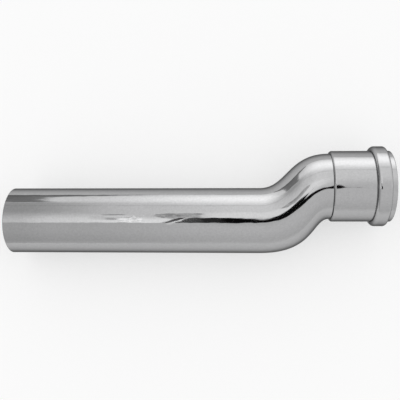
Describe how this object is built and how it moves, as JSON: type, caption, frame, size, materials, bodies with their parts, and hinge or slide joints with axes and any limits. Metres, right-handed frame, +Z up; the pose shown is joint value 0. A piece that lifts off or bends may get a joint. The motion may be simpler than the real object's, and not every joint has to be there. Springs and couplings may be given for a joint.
{
  "type": "eccentric extension tube",
  "caption": "Bent chromed waste tube with a plain spigot end, a sideways offset and a sleeve socket with a seal bead.",
  "frame": {"origin": "centre of the plain spigot's end face, on the axis of the straight run", "axes": "+X along the straight run towards the socket, +Z up as the tube lies, with the socket offset towards +Y and a little up"},
  "size_m": [0.1853, 0.0519, 0.039],
  "materials": {
    "chromed_brass": "bright chrome plate over a polished brass tube, satin inside",
    "seal_rubber": "plain black elastomer"
  },
  "bodies": {
    "root": {"tube": "chromed_brass", "seal_ring": "seal_rubber"}
  },
  "joints": []
}
